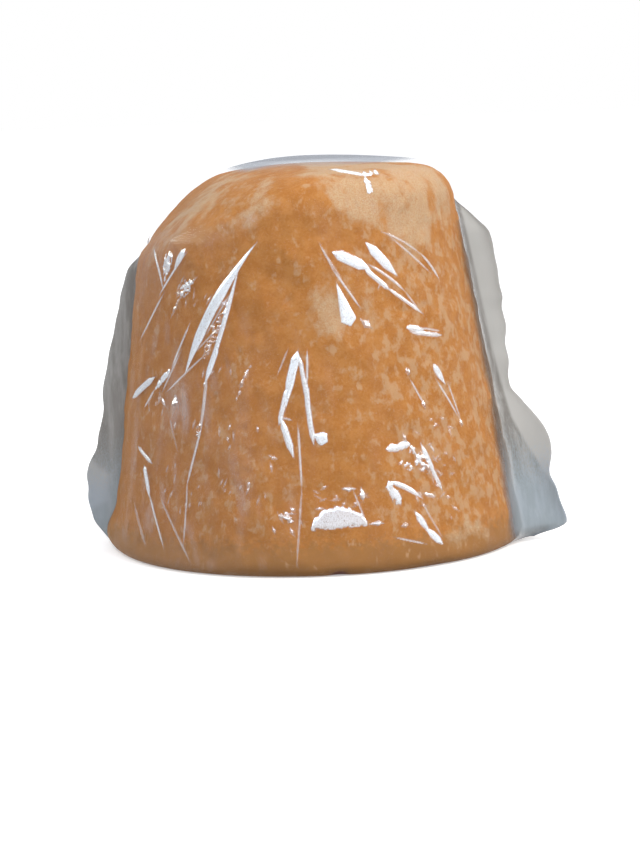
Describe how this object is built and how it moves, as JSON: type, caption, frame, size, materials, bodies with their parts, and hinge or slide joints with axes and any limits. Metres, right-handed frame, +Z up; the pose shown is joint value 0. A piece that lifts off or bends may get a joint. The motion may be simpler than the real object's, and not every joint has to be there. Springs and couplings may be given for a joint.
{
  "type": "wrapped jaggery block",
  "caption": "Cone-shaped moulded block of solid raw cane sugar, sealed in clear crinkled plastic film with a loose fin and a flap at its sides; it rests on its broad flat base.",
  "frame": {"origin": "centre of the block's flat base", "axes": "+Z up through the block, -Y towards the front, +X towards the side with the broad film flap"},
  "size_m": [0.131, 0.1143, 0.1054],
  "materials": {
    "jaggery": "amber, with cream bloom, smooth and slightly waxy",
    "clear_film": "thin clear glossy plastic"
  },
  "bodies": {
    "root": {"wrapped_jaggery_block": "jaggery"}
  },
  "joints": []
}
